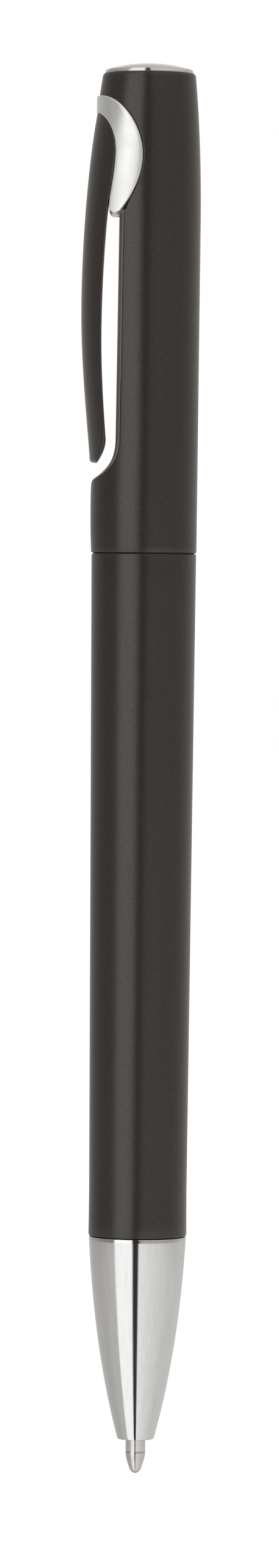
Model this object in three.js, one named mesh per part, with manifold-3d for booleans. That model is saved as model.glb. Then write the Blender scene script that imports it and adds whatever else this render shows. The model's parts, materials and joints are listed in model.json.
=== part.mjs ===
// A twist ball-point pen with a matt black barrel in two halves, a bright nose cone and a moulded clip.
// Millimetres. Z runs up the pen from the lowest point of the ball, and the clip faces -X.
// Turning the upper barrel turns a cam, which lets the refill's carrier rise on its spring.
import * as THREE from "three";
import { mergeVertices } from "three/addons/utils/BufferGeometryUtils.js";
import Module from "manifold-3d";

const wasm = await Module();
wasm.setup();

// Lengths along the pen, from the point upwards
const tipReach = 3.47;
const noseLength = 20.53;
const jointGap = 0.05;
const lowerLength = 68.7;
const seamGap = 0.1;
const upperLength = 47.9;
const domeStand = 0.3;
const domeHeight = 0.95;

// Outer radii
const noseEndRadius = 1.87;
const noseTopRadius = 4.9;
const lowerEndRadius = 4.93;
const lowerTopRadius = 5.26;
const upperEndRadius = 5.29;
const bellyRadius = 5.4;
const topEdgeRadius = 4.78;
const domeRadius = 4.43;

// Shape of the nose cone and of the upper barrel's shoulder
const noseSwellRadius = 4.3;
const noseSwellHeight = 9.1;
const noseEdge = 0.12;
const bellyBelowTop = 14.75;
const shoulderPower = 2.25;
const rimRound = 0.25;

// Bores and walls
const lowerBore = 4.2;
const upperBore = 4.25;
const flatWall = 0.83;
const runningFit = 0.1;
const pressFit = 0.05;
const seatGap = 0.05;

// The flat behind the clip, and the curve that ends it, whose foot is a drop from the top edge
const flatDistance = 2.88;
const notchDrop = 40.83;
const notchCornerDistance = 5.25;
const notchRise = 3.6;
const keyedBoreBelowNotch = 0.9;

// The bright horseshoe round the clip's root, measured from the barrel's top edge down
const trimTopDrop = 2.1;
const trimBandHeight = 1.6;
const trimWaistDrop = 8.1;
const trimWaistDistance = 0.47;
const trimHornDrop = 14.0;
const trimHornWidth = 1.05;
const trimInnerDistance = 3.17;
const trimInnerDrop = 7.55;
const trimInnerEndDistance = 3.7;
const trimInnerEndDrop = 12.3;
const trimProud = 0.15;
const pegRadius = 0.7;
const pegReach = 1.2;
const pegSpread = 2.6;

// The clip, with distances from the pen's axis and drops from the barrel's top edge
const clipEndDrop = 38.9;
const clipCrestDistance = 6.52;
const clipCrestDrop = 23.25;
const clipRootDistance = 5.05;
const clipEndDistance = 5.46;
const clipInnerRootDistance = 3.8;
const clipInnerCrestDistance = 4.48;
const clipInnerCrestDrop = 25.75;
const clipRampDistance = 3.93;
const clipRampHeight = 2.55;
const clipEndThickness = 0.65;
const clipFit = 0.1;
const tenonReach = 1.6;
const tenonHeight = 1.4;
const tenonWidth = 3.2;
const tenonDrop = 5.65;
const tenonFit = 0.15;

// The refill
const refillLength = 67;
const ballRadius = 0.5;
const ballShow = 0.33;
const ballFit = 0.03;
const tipEndRadius = 0.535;
const tipRadius = 1.0;
const tipConeTop = 2.05;
const tipLength = 6.2;
const tipPlugLength = 2.6;
const tubeRadius = 1.175;
const tubeWall = 0.175;
const endPlugLength = 2;
const ventRadius = 0.25;

// The twist mechanism
const travel = 4.6;
const twistAngle = THREE.MathUtils.degToRad(140);
const socketDepth = 8;
const carrierRadius = 1.6;
const carrierGuideRadius = 1.9;
const carrierGuideLength = 2.8;
const flangeHeight = 0.8;
const lugHeight = 1.8;
const lugWidth = 1.25;
const lugInset = 0.1;
const springWire = 0.4;
const springRadius = 2.0;
const springCurls = 7;
const springSeated = 7.4;
const housingRadius = 4.15;
const housingBore = 3.5;
const housingBelowSeam = 28.75;
const housingFloor = 1.2;
const housingAboveSeam = 4.4;
const camRadius = 3.4;
const camBore = 2.35;
const camToothDepth = 1.3;
const camSocketDepth = 5.4;
const camWeb = 1.5;
const stopGap = THREE.MathUtils.degToRad(1);
const shankRadius = 1.9;
const thrustFlangeRadius = 3.3;
const thrustFlangeHeight = 1.3;
const washerThickness = 0.3;
const capHeight = 3;
const shaftRadius = 1.75;
const driveHexRadius = 1.7;
const driveHexLength = 7.8;
const bushLength = 5;
const keyedBoreCeiling = 17.25;

// Rings and washers
const frictionRingWire = 0.18;
const frictionRingDrop = 2.0;
const seamWasherWall = 0.5;
const seamWasherHeight = 0.5;
const noseRingWire = 0.3;

// The threaded coupler between the nose and the lower barrel
const couplerSeatLength = 7;
const couplerShankLength = 8.5;
const couplerBore = 1.45;
const threadRoot = 3.1;
const threadRadius = 3.4;
const threadPitch = 1;
const threadTurns = 6;
const threadFit = 0.2;
const tipHoleLength = 2.1;

// The coring hole under the dome, on the side away from the clip
const coreRadius = 1.9;
const coreOffset = 2.45;
const recessDepth = 0.8;
const stemLength = 3;

// Facets
const outerSides = 48;
const innerSides = 24;
const smallSides = 20;
const curveSteps = 8;

// Levels that follow from the sizes above
const noseTop = tipReach + noseLength;
const lowerEnd = noseTop + jointGap;
const lowerTop = lowerEnd + lowerLength;
const upperEnd = lowerTop + seamGap;
const upperTop = upperEnd + upperLength;
const bellyLevel = upperTop - bellyBelowTop;
const notchLevel = upperTop - notchDrop;
const carrierEnd = refillLength - socketDepth;
const housingEnd = lowerTop - housingBelowSeam;
const springSeat = housingEnd + housingFloor;
const flangeLevel = springSeat + springSeated;
const lugLevel = flangeLevel + flangeHeight;
const lugTop = lugLevel + lugHeight;
const housingTop = lowerTop + housingAboveSeam;
const capEnd = housingTop - capHeight;
const washerEnd = capEnd - seatGap - washerThickness;
const thrustTop = washerEnd - seatGap;
const thrustEnd = thrustTop - thrustFlangeHeight;
const camTop = thrustEnd - runningFit;
const camEnd = lugTop - camToothDepth;
const shaftTop = housingTop + 0.8;
const flangeRadius = camBore - runningFit * 1.5;
const driveTop = shaftTop + driveHexLength;
const ceiling = upperTop - keyedBoreCeiling;
const clipEnd = upperTop - clipEndDrop;
const clipCrest = upperTop - clipCrestDrop;
const clipInnerCrest = upperTop - clipInnerCrestDrop;

// A closed geometry as a solid that can be joined and cut
function solid(geometry) {
  const bare = geometry.index ? geometry.toNonIndexed() : geometry.clone();
  bare.deleteAttribute("normal");
  bare.deleteAttribute("uv");
  const merged = mergeVertices(bare, 1e-4);
  return new wasm.Manifold(
    new wasm.Mesh({
      numProp: 3,
      vertProperties: merged.attributes.position.array,
      triVerts: new Uint32Array(merged.index.array),
    }),
  );
}

function geometryOf(body) {
  const mesh = body.getMesh();
  const geometry = new THREE.BufferGeometry();
  geometry.setAttribute("position", new THREE.BufferAttribute(mesh.vertProperties, 3));
  geometry.setIndex(new THREE.BufferAttribute(mesh.triVerts, 1));
  return geometry;
}

// A profile of [radius, height] pairs turned round the pen's axis
function revolve(profile, sides) {
  const points = profile.map(([radius, height]) => new THREE.Vector2(radius, height));
  if (THREE.ShapeUtils.area(points) < 0) points.reverse();
  if (points[0].x > 0 || points.at(-1).x > 0) points.push(points[0].clone());
  return solid(new THREE.LatheGeometry(points, sides).rotateX(Math.PI / 2));
}

function rod(radius, low, high, sides = innerSides) {
  return revolve([[0, low], [radius, low], [radius, high], [0, high]], sides);
}

function tube(inner, outer, low, high, sides = innerSides) {
  return revolve([[inner, low], [outer, low], [outer, high], [inner, high]], sides);
}

function ring(radius, wire, height, sides = innerSides) {
  const section = [];
  for (let i = 0; i < 8; i += 1) {
    const a = (i / 8) * 2 * Math.PI;
    section.push([radius + wire * Math.cos(a), height + wire * Math.sin(a)]);
  }
  return revolve(section, sides);
}

function block(x0, x1, width, low, high) {
  const box = new THREE.BoxGeometry(x1 - x0, width, high - low);
  return solid(box.translate((x0 + x1) / 2, 0, (low + high) / 2));
}

function hexagon(radius, low, high) {
  const prism = new THREE.CylinderGeometry(radius, radius, high - low, 6);
  return solid(prism.rotateX(Math.PI / 2).translate(0, 0, (low + high) / 2));
}

// A side view of [distance towards the clip, height] pairs, carried right through the pen
function sideCut(outline) {
  const width = 3 * bellyRadius;
  const shape = new THREE.Shape(outline.map(([distance, height]) => new THREE.Vector2(-distance, height)));
  const prism = new THREE.ExtrudeGeometry(shape, { depth: width, bevelEnabled: false, curveSegments: 1 });
  return solid(prism.translate(0, 0, -width / 2).rotateX(Math.PI / 2));
}

// A section of [radius, height] pairs that changes as it goes round the axis, closed at both ends
function sweepRound(start, end, steps, sectionAt) {
  const positions = [];
  const count = sectionAt(start).length;
  for (let i = 0; i <= steps; i += 1) {
    const a = start + ((end - start) * i) / steps;
    for (const [radius, height] of sectionAt(a)) {
      positions.push(radius * Math.cos(a), radius * Math.sin(a), height);
    }
  }
  const index = [];
  for (let i = 0; i < steps; i += 1) {
    for (let j = 0; j < count; j += 1) {
      const a = i * count + j;
      const b = i * count + ((j + 1) % count);
      index.push(a, b, a + count, b, b + count, a + count);
    }
  }
  const last = steps * count;
  for (let j = 1; j < count - 1; j += 1) {
    index.push(0, j + 1, j, last, last + j, last + j + 1);
  }
  const geometry = new THREE.BufferGeometry();
  geometry.setAttribute("position", new THREE.Float32BufferAttribute(positions, 3));
  geometry.setIndex(index.reverse());
  return solid(geometry);
}

function bezier(steps, ...corners) {
  const points = corners.map(([a, b]) => new THREE.Vector2(a, b));
  const Kind = corners.length === 3 ? THREE.QuadraticBezierCurve : THREE.CubicBezierCurve;
  return new Kind(...points).getPoints(steps).map((p) => [p.x, p.y]);
}

// An open line of pairs moved sideways, to its left as it runs for a positive distance
function beside(line, distance) {
  return line.map(([a, b], i) => {
    const [a0, b0] = line[Math.max(0, i - 1)];
    const [a1, b1] = line[Math.min(line.length - 1, i + 1)];
    const run = Math.hypot(a1 - a0, b1 - b0);
    return [a - ((b1 - b0) / run) * distance, b + ((a1 - a0) / run) * distance];
  });
}

// Radius of the upper barrel's round outside at a height
function upperRadius(height) {
  if (height < bellyLevel) {
    return THREE.MathUtils.mapLinear(height, upperEnd, bellyLevel, upperEndRadius, bellyRadius);
  }
  const share = (height - bellyLevel) / bellyBelowTop;
  return bellyRadius - (bellyRadius - topEdgeRadius) * share ** shoulderPower;
}

function upperOutside(extra) {
  const profile = [[0, upperEnd], [upperRadius(upperEnd) + extra, upperEnd]];
  for (let i = 0; i <= curveSteps; i += 1) {
    const height = bellyLevel + ((bellyBelowTop - rimRound) * i) / curveSteps;
    profile.push([upperRadius(height) + extra, height]);
  }
  profile.push([topEdgeRadius + extra - rimRound * 0.35, upperTop - rimRound * 0.3]);
  profile.push([topEdgeRadius + extra - rimRound * 0.8, upperTop], [0, upperTop]);
  return revolve(profile, outerSides);
}

// The clip's outer line in side view, from its root down to its end
const trimTop = upperTop - trimTopDrop;
const trimUnder = trimTop - trimBandHeight;
const clipOuterLine = [
  ...bezier(
    curveSteps,
    [clipRootDistance, trimUnder],
    [clipRootDistance + 0.9, trimUnder - 5],
    [clipCrestDistance, clipCrest + 6.5],
    [clipCrestDistance, clipCrest],
  ),
  ...bezier(
    curveSteps,
    [clipCrestDistance, clipCrest],
    [clipCrestDistance, clipCrest - 5.5],
    [clipEndDistance + 0.46, clipEnd + 5],
    [clipEndDistance, clipEnd],
  ).slice(1),
];

const clipInnerLine = [
  ...bezier(
    curveSteps,
    [clipRampDistance, clipEnd + clipRampHeight],
    [clipRampDistance + 0.27, clipEnd + clipRampHeight + 3.1],
    [clipInnerCrestDistance, clipInnerCrest - 4],
    [clipInnerCrestDistance, clipInnerCrest],
  ),
  ...bezier(
    curveSteps,
    [clipInnerCrestDistance, clipInnerCrest],
    [clipInnerCrestDistance, clipInnerCrest + 4.5],
    [clipInnerRootDistance + 0.4, upperTop - trimInnerEndDrop - 3.3],
    [clipInnerRootDistance, upperTop - trimInnerEndDrop],
  ).slice(1),
];

// The rounded stock that the clip and its horseshoe are cut from: round sections that lean out with the clip
function clipStock(extra) {
  const line = [[clipRootDistance, upperTop], ...clipOuterLine, [clipEndDistance, clipEnd - 1]];
  const positions = [];
  for (const [distance, height] of line) {
    const radius = upperRadius(Math.min(height, upperTop)) + extra;
    const lean = distance + extra - radius;
    for (let i = 0; i < outerSides; i += 1) {
      const a = (i / outerSides) * 2 * Math.PI;
      positions.push(radius * Math.cos(a) - lean, radius * Math.sin(a), height);
    }
  }
  const index = [];
  for (let i = 0; i < line.length - 1; i += 1) {
    for (let j = 0; j < outerSides; j += 1) {
      const a = i * outerSides + j;
      const b = i * outerSides + ((j + 1) % outerSides);
      index.push(a, a + outerSides, b, b, a + outerSides, b + outerSides);
    }
  }
  const last = (line.length - 1) * outerSides;
  for (let j = 1; j < outerSides - 1; j += 1) {
    index.push(0, j, j + 1, last, last + j + 1, last + j);
  }
  const geometry = new THREE.BufferGeometry();
  geometry.setAttribute("position", new THREE.Float32BufferAttribute(positions, 3));
  geometry.setIndex(index);
  return solid(geometry);
}

// The horseshoe's outer line in side view, from the front over the top and down to its horn
const hornLevel = upperTop - trimHornDrop;
const waistLevel = upperTop - trimWaistDrop;
const farFront = clipCrestDistance + 2.5;
const trimOuterLine = [
  [farFront, trimTop],
  ...bezier(
    curveSteps,
    [4.9, trimTop],
    [trimWaistDistance + 2.13, trimTop - 0.05],
    [trimWaistDistance, waistLevel + 2.75],
    [trimWaistDistance, waistLevel],
  ),
  ...bezier(
    curveSteps,
    [trimWaistDistance, waistLevel],
    [trimWaistDistance + 0.03, waistLevel - 2.95],
    [flatDistance - 0.14, hornLevel + 0.05],
  ).slice(1),
];
const hornFront = flatDistance - 0.14 + trimHornWidth;
const trimHornLine = [
  ...bezier(
    4,
    [flatDistance - 0.14, hornLevel + 0.05],
    [flatDistance + 0.4, hornLevel - 0.3],
    [hornFront, hornLevel - 0.15],
    [hornFront, hornLevel + 0.6],
  ).slice(1),
];
const trimInnerLine = [
  [trimInnerEndDistance + 0.04, upperTop - trimInnerEndDrop - 0.35],
  ...bezier(
    curveSteps,
    [trimInnerEndDistance, upperTop - trimInnerEndDrop],
    [trimInnerDistance + 0.03, upperTop - trimInnerDrop - 1.8],
    [trimInnerDistance, upperTop - trimInnerDrop],
  ),
  ...bezier(
    curveSteps,
    [trimInnerDistance, upperTop - trimInnerDrop],
    [trimInnerDistance, upperTop - trimInnerDrop + 1.4],
    [trimInnerDistance + 0.73, trimUnder - 0.45],
    [trimInnerDistance + 2.03, trimUnder],
  ).slice(1),
  [farFront, trimUnder],
];

function noseCone() {
  const outside = [
    [0, tipReach],
    [noseEndRadius - noseEdge, tipReach],
    ...bezier(
      14,
      [noseEndRadius, tipReach + noseEdge],
      [noseSwellRadius, tipReach + noseSwellHeight],
      [noseTopRadius, noseTop],
    ),
    [0, noseTop],
  ];
  const threadEnd = lowerEnd - couplerShankLength;
  const tubeBore = tubeRadius + runningFit * 2;
  const bore = [
    [0, tipReach - 1],
    [tipRadius + runningFit, tipReach - 1],
    [tipRadius + runningFit, tipReach + tipHoleLength],
    [tubeBore, tipReach + tipHoleLength + 0.4],
    [tubeBore, threadEnd - 2],
    [threadRoot, threadEnd - 0.5],
    [threadRadius + threadFit, threadEnd - 0.5],
    [threadRadius + threadFit, noseTop - noseRingWire * 2 - seatGap * 2],
    [threadRoot + noseRingWire * 2 + seatGap * 6, noseTop - noseRingWire * 2 - seatGap * 2],
    [threadRoot + noseRingWire * 2 + seatGap * 6, noseTop + 1],
    [0, noseTop + 1],
  ];
  return revolve(outside, outerSides).subtract(revolve(bore, smallSides));
}

function noseCoupler() {
  const end = lowerEnd - couplerShankLength;
  const top = lowerEnd + couplerSeatLength;
  const seat = lowerBore - pressFit;
  const body = revolve(
    [[0, end], [threadRoot, end], [threadRoot, lowerEnd], [seat, lowerEnd], [seat, top], [0, top]],
    innerSides,
  );
  const start = end + threadPitch * 0.6;
  const rise = threadPitch / (2 * Math.PI);
  const ridge = sweepRound(0, threadTurns * 2 * Math.PI, threadTurns * 10, (a) => [
    [threadRoot - 0.1, start + rise * a - threadPitch * 0.4],
    [threadRadius, start + rise * a],
    [threadRoot - 0.1, start + rise * a + threadPitch * 0.4],
  ]);
  return body.add(ridge).subtract(rod(couplerBore, end - 1, top + 1, smallSides));
}

function noseRing() {
  const radius = threadRoot + seatGap + noseRingWire;
  return ring(radius, noseRingWire, noseTop - seatGap - noseRingWire, smallSides);
}

function lowerBarrel() {
  const outside = revolve(
    [
      [0, lowerEnd],
      [lowerEndRadius - 0.08, lowerEnd],
      [lowerEndRadius, lowerEnd + 0.1],
      [lowerTopRadius, lowerTop - 0.1],
      [lowerTopRadius - 0.08, lowerTop],
      [0, lowerTop],
    ],
    outerSides,
  );
  const counter = lowerBore + pressFit + seamWasherWall + pressFit;
  const bore = revolve(
    [
      [0, lowerEnd - 1],
      [lowerBore, lowerEnd - 1],
      [lowerBore, lowerTop - seamWasherHeight],
      [counter, lowerTop - seamWasherHeight],
      [counter, lowerTop + 1],
      [0, lowerTop + 1],
    ],
    outerSides,
  );
  return outside.subtract(bore);
}

function seamWasher() {
  const inner = lowerBore + pressFit;
  const low = lowerTop - seamWasherHeight + seatGap;
  return tube(inner, inner + seamWasherWall, low, low + seamWasherHeight, outerSides);
}

// Housing of the mechanism: a tube with a floor for the spring and two slots that guide the carrier's lugs
function mechanismHousing() {
  const groove = upperBore - seatGap * 0.5 - frictionRingWire * 2 - seatGap;
  const grooveMiddle = housingTop - frictionRingDrop;
  const grooveHalf = frictionRingWire + seatGap;
  const body = revolve(
    [
      [carrierRadius + runningFit, housingEnd],
      [housingRadius, housingEnd],
      [housingRadius, grooveMiddle - grooveHalf],
      [groove, grooveMiddle - grooveHalf],
      [groove, grooveMiddle + grooveHalf],
      [housingRadius, grooveMiddle + grooveHalf],
      [housingRadius, housingTop],
      [housingBore, housingTop],
      [housingBore, springSeat],
      [carrierRadius + runningFit, springSeat],
    ],
    innerSides,
  );
  const slotWidth = lugWidth + runningFit * 2;
  const reach = housingRadius + 1;
  const slotTop = lugTop + travel + runningFit * 2;
  return body.subtract(block(-reach, reach, slotWidth, lugLevel - runningFit * 2, slotTop));
}

function frictionRing() {
  const radius = upperBore - seatGap * 0.5 - frictionRingWire;
  return ring(radius, frictionRingWire, housingTop - frictionRingDrop);
}

function housingCap() {
  return tube(shaftRadius + runningFit, housingBore - pressFit, capEnd, housingTop);
}

function thrustWasher() {
  const bore = shaftRadius + runningFit;
  return tube(bore, thrustFlangeRadius, washerEnd, washerEnd + washerThickness, smallSides);
}

// The cam's lower edge is two teeth, each with a slope that rises by the travel over the pen's twist
const lugHalfAngle = Math.asin(lugWidth / 2 / camBore);
function camSleeve() {
  const body = revolve(
    [
      [camBore, camEnd],
      [camRadius, camEnd],
      [camRadius, camTop],
      [0, camTop],
      [0, camTop - camSocketDepth - camWeb],
      [camBore, camTop - camSocketDepth - camWeb],
    ],
    innerSides,
  );
  const low = camEnd - 1;
  const slope = travel / twistAngle;
  const window = (turn) =>
    sweepRound(
      turn + lugHalfAngle + stopGap - twistAngle - 2 * (lugHalfAngle + stopGap),
      turn + lugHalfAngle + stopGap,
      16,
      (a) => {
        const turned = Math.min(twistAngle, turn + lugHalfAngle + stopGap - a);
        const edge = lugTop + runningFit + slope * turned;
        return [[camBore - 0.5, low], [camRadius + 0.5, low], [camRadius + 0.5, edge], [camBore - 0.5, edge]];
      },
    );
  return body
    .subtract(window(0))
    .subtract(window(Math.PI))
    .subtract(hexagon(shankRadius + pressFit, camTop - camSocketDepth, camTop + 1));
}

function driveShaft() {
  return hexagon(shankRadius, camTop - camSocketDepth + runningFit, thrustEnd + 0.1)
    .add(rod(thrustFlangeRadius, thrustEnd, thrustTop, smallSides))
    .add(rod(shaftRadius, thrustTop - 0.1, shaftTop, smallSides))
    .add(hexagon(driveHexRadius, shaftTop - 0.1, driveTop));
}

const keyedFlat = flatDistance - flatWall;
function driveBush() {
  const high = driveTop + 0.2;
  const low = high - bushLength;
  const round = rod(upperBore - pressFit, low, high);
  return round
    .intersect(block(-keyedFlat + pressFit, upperBore + 1, upperBore * 2 + 2, low - 1, high + 1))
    .subtract(hexagon(driveHexRadius + pressFit, low - 1, high + 1));
}

function refillCarrier() {
  const body = revolve(
    [
      [0, carrierEnd],
      [carrierRadius, carrierEnd],
      [carrierRadius, flangeLevel],
      [flangeRadius, flangeLevel],
      [flangeRadius, lugLevel],
      [carrierGuideRadius, lugLevel],
      [carrierGuideRadius, lugTop + carrierGuideLength],
      [0, lugTop + carrierGuideLength],
    ],
    smallSides,
  );
  const reach = housingRadius - lugInset;
  return body
    .add(block(-reach, reach, lugWidth, lugLevel - 0.1, lugTop))
    .subtract(rod(tubeRadius + pressFit, carrierEnd - 1, refillLength + 0.3, smallSides));
}

// The spring's wire: flat for its first and last quarter curl, with square ends
class SpringPath extends THREE.Curve {
  getPoint(t) {
    const turns = t * springCurls;
    const active = THREE.MathUtils.clamp((turns - 0.25) / (springCurls - 0.5), 0, 1);
    const height = springSeat + springWire / 2 + seatGap + (springSeated - springWire - 2 * seatGap) * active;
    const a = turns * 2 * Math.PI;
    return new THREE.Vector3(springRadius * Math.cos(a), springRadius * Math.sin(a), height);
  }
}

function springGap(path) {
  const points = path.getPoints(springCurls * 24);
  let least = Infinity;
  points.forEach((p, i) => {
    for (let j = i + 16; j < points.length; j += 1) least = Math.min(least, p.distanceTo(points[j]));
  });
  return least - springWire;
}

function returnSpring() {
  const path = new SpringPath();
  const section = [];
  for (let i = 0; i < 5; i += 1) {
    const a = (i / 5) * 2 * Math.PI;
    section.push(new THREE.Vector2((springWire / 2) * Math.cos(a), (springWire / 2) * Math.sin(a)));
  }
  console.log("least gap of the spring to itself " + springGap(path).toFixed(2) + " mm");
  const wire = new THREE.ExtrudeGeometry(new THREE.Shape(section), {
    steps: springCurls * 8,
    extrudePath: path,
    bevelEnabled: false,
  });
  return solid(wire);
}

function refillTube() {
  return tube(tubeRadius - tubeWall, tubeRadius, tipLength + seatGap, refillLength, smallSides);
}

function refillEndPlug() {
  const outer = tubeRadius - tubeWall - pressFit;
  return tube(ventRadius, outer, refillLength - endPlugLength, refillLength, smallSides);
}

function refillTip() {
  const plug = tubeRadius - tubeWall - pressFit;
  const outside = [
    [0, ballShow],
    ...bezier(
      5,
      [tipEndRadius, ballShow],
      [tipRadius - 0.07, tipConeTop - 0.55],
      [tipRadius, tipConeTop],
    ),
    [tipRadius, tipLength - 0.6],
    [tubeRadius, tipLength - 0.4],
    [tubeRadius, tipLength],
    [plug, tipLength],
    [plug, tipLength + tipPlugLength],
    [0, tipLength + tipPlugLength],
  ];
  const seat = new THREE.SphereGeometry(ballRadius + ballFit, 16, 12).rotateX(Math.PI / 2);
  return revolve(outside, smallSides)
    .subtract(solid(seat.translate(0, 0, ballRadius)))
    .subtract(rod(ballRadius * 0.6, ballRadius, tipLength + tipPlugLength + 1, 12));
}

function refillBall() {
  const ball = new THREE.SphereGeometry(ballRadius, 16, 12).rotateX(Math.PI / 2);
  return solid(ball.translate(0, 0, ballRadius));
}

function upperBarrel() {
  const notchCurve = bezier(
    6,
    [flatDistance, notchLevel + notchRise],
    [flatDistance + 0.05, notchLevel + notchRise * 0.45],
    [notchCornerDistance - 1.1, notchLevel + 0.85],
    [notchCornerDistance, notchLevel],
  );
  const outline = [
    ...beside(trimOuterLine, -pressFit),
    [flatDistance, hornLevel - 0.1],
    ...notchCurve,
    [farFront, notchLevel - 0.4],
  ];
  const bore = rod(upperBore, upperEnd - 1, ceiling, outerSides);
  const keyLevel = notchLevel - keyedBoreBelowNotch;
  const key = block(-upperBore - 1, -keyedFlat, upperBore * 2 + 2, keyLevel, ceiling + 1);
  return upperOutside(0)
    .subtract(sideCut(outline))
    .subtract(bore.subtract(key))
    .subtract(rod(coreRadius, ceiling - 1, upperTop + 1, smallSides).translate([coreOffset, 0, 0]))
    .subtract(rod(domeRadius + pressFit, upperTop - recessDepth, upperTop + 1, outerSides))
    .subtract(pegs(pressFit * 2));
}

// Two pegs that hold the horseshoe in the barrel
function pegs(extra) {
  const peg = (side) => {
    const length = pegReach + trimWaistDistance + 0.8;
    const bar = new THREE.CylinderGeometry(pegRadius + extra, pegRadius + extra, length + extra * 2, 16);
    const middle = pegReach - length / 2;
    return solid(bar.rotateZ(Math.PI / 2).translate(middle, side * pegSpread, waistLevel));
  };
  return peg(1).add(peg(-1));
}

function tenon(extra) {
  const level = upperTop - tenonDrop;
  const back = trimInnerDistance + 0.6 - tenonReach;
  const front = -trimInnerDistance - 1.8;
  return block(front, -back + extra, tenonWidth + extra * 2, level - extra, level + tenonHeight + extra);
}

function clipTrim() {
  const crescent = sideCut([...trimOuterLine, ...trimHornLine, ...trimInnerLine]);
  const band = upperOutside(trimProud).add(clipStock(trimProud)).intersect(crescent);
  return band.add(pegs(0)).subtract(tenon(tenonFit));
}

function clip() {
  const endCurve = bezier(
    4,
    [clipEndDistance + 0.02, clipEnd + 0.35],
    [clipEndDistance - 0.02, clipEnd],
    [clipEndDistance - clipEndThickness, clipEnd],
  );
  const outline = [
    [farFront, clipEnd + 0.35],
    ...endCurve,
    ...clipInnerLine,
    ...beside(trimInnerLine.slice(1), clipFit * -1),
  ];
  return clipStock(0).intersect(sideCut(outline)).add(tenon(0));
}

function topDome() {
  const rim = upperTop + domeStand;
  const capRadius = (domeRadius ** 2 + domeHeight ** 2) / (2 * domeHeight);
  const reach = Math.asin(domeRadius / capRadius);
  const profile = [[0, upperTop - recessDepth + seatGap], [domeRadius, upperTop - recessDepth + seatGap]];
  for (let i = 0; i < curveSteps; i += 1) {
    const a = reach * (1 - i / curveSteps);
    profile.push([capRadius * Math.sin(a), rim + domeHeight - capRadius * (1 - Math.cos(a))]);
  }
  profile.push([0, rim + domeHeight]);
  const low = upperTop - recessDepth - stemLength;
  const stem = rod(coreRadius - runningFit, low, upperTop - recessDepth + 0.2, smallSides);
  return revolve(profile, outerSides).add(stem.translate([coreOffset, 0, 0]));
}

const finish = {
  mattBlack: { color: 0x3c3936, roughness: 0.6, metalness: 0.0 },
  satinSilver: { color: 0xd8d7d4, roughness: 0.35, metalness: 1.0 },
  chrome: { color: 0xc9c8c6, roughness: 0.15, metalness: 1.0 },
  brass: { color: 0xb89a5a, roughness: 0.35, metalness: 1.0 },
  steel: { color: 0xa8a8a6, roughness: 0.3, metalness: 1.0 },
  whiteMoulding: { color: 0xe4e2dc, roughness: 0.5, metalness: 0.0 },
  rubber: { color: 0x1c1c1c, roughness: 0.8, metalness: 0.0 },
};

const pieces = {
  nose_cone: [noseCone, finish.chrome],
  nose_coupler: [noseCoupler, finish.brass],
  nose_o_ring: [noseRing, finish.rubber],
  lower_barrel: [lowerBarrel, finish.mattBlack],
  mechanism_housing: [mechanismHousing, finish.brass],
  housing_cap: [housingCap, finish.brass],
  thrust_washer: [thrustWasher, finish.whiteMoulding],
  seam_washer: [seamWasher, finish.rubber],
  friction_ring: [frictionRing, finish.rubber],
  upper_barrel: [upperBarrel, finish.mattBlack],
  drive_bush: [driveBush, finish.whiteMoulding],
  drive_shaft: [driveShaft, finish.brass],
  cam_sleeve: [camSleeve, finish.whiteMoulding],
  clip_trim: [clipTrim, finish.satinSilver],
  top_dome: [topDome, finish.chrome],
  refill_carrier: [refillCarrier, finish.whiteMoulding],
  refill_tube: [refillTube, finish.brass],
  refill_end_plug: [refillEndPlug, finish.whiteMoulding],
  refill_tip: [refillTip, finish.steel],
  refill_ball: [refillBall, finish.steel],
  return_spring: [returnSpring, finish.steel],
  clip: [clip, finish.mattBlack],
};

const pen = new THREE.Group();
for (const [name, [make, look]] of Object.entries(pieces)) {
  const mesh = new THREE.Mesh(geometryOf(make()), new THREE.MeshStandardMaterial(look));
  mesh.name = name;
  pen.add(mesh);
}
export default pen;
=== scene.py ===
"""Looks of a twist ball-point pen: a matt black barrel in two halves, a bright nose cone and tip,
a moulded clip in a silver horseshoe, and a bright dome. Metres, with the frame's own places."""
import json
import math

import bmesh
import bpy
import numpy as np
from mathutils import Matrix, Vector


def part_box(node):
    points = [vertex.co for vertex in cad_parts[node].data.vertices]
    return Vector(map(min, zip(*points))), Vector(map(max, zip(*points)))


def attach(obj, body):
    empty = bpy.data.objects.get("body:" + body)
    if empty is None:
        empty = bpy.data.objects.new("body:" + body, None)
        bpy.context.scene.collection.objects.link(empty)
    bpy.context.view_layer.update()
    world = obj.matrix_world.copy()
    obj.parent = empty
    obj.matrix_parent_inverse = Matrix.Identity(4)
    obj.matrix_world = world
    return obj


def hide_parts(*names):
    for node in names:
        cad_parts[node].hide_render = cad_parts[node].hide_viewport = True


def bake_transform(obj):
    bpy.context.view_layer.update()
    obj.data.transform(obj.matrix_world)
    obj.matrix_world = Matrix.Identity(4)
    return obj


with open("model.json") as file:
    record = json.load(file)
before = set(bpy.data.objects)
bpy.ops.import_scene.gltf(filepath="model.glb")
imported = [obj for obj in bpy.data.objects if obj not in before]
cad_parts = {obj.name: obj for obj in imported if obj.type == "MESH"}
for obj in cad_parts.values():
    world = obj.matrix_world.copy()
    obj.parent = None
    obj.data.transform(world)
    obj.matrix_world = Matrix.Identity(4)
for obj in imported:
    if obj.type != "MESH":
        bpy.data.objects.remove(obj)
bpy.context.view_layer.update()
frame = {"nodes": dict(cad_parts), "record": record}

MM = 0.001

# The photograph's frame and camera
PHOTO_HEIGHT = 2576
FOCAL_PIXELS = 11989
CAMERA_DISTANCE = 735 * MM
CAMERA_RISE = math.radians(1.5)
CAMERA_ROLL = math.radians(-0.543)
AIM = Vector((-0.216, 0, 69.59)) * MM


def span(node, axis=2):
    """Lowest and highest place of a frame node along an axis, in millimetres."""
    low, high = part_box(node)
    return low[axis] / MM, high[axis] / MM


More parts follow.
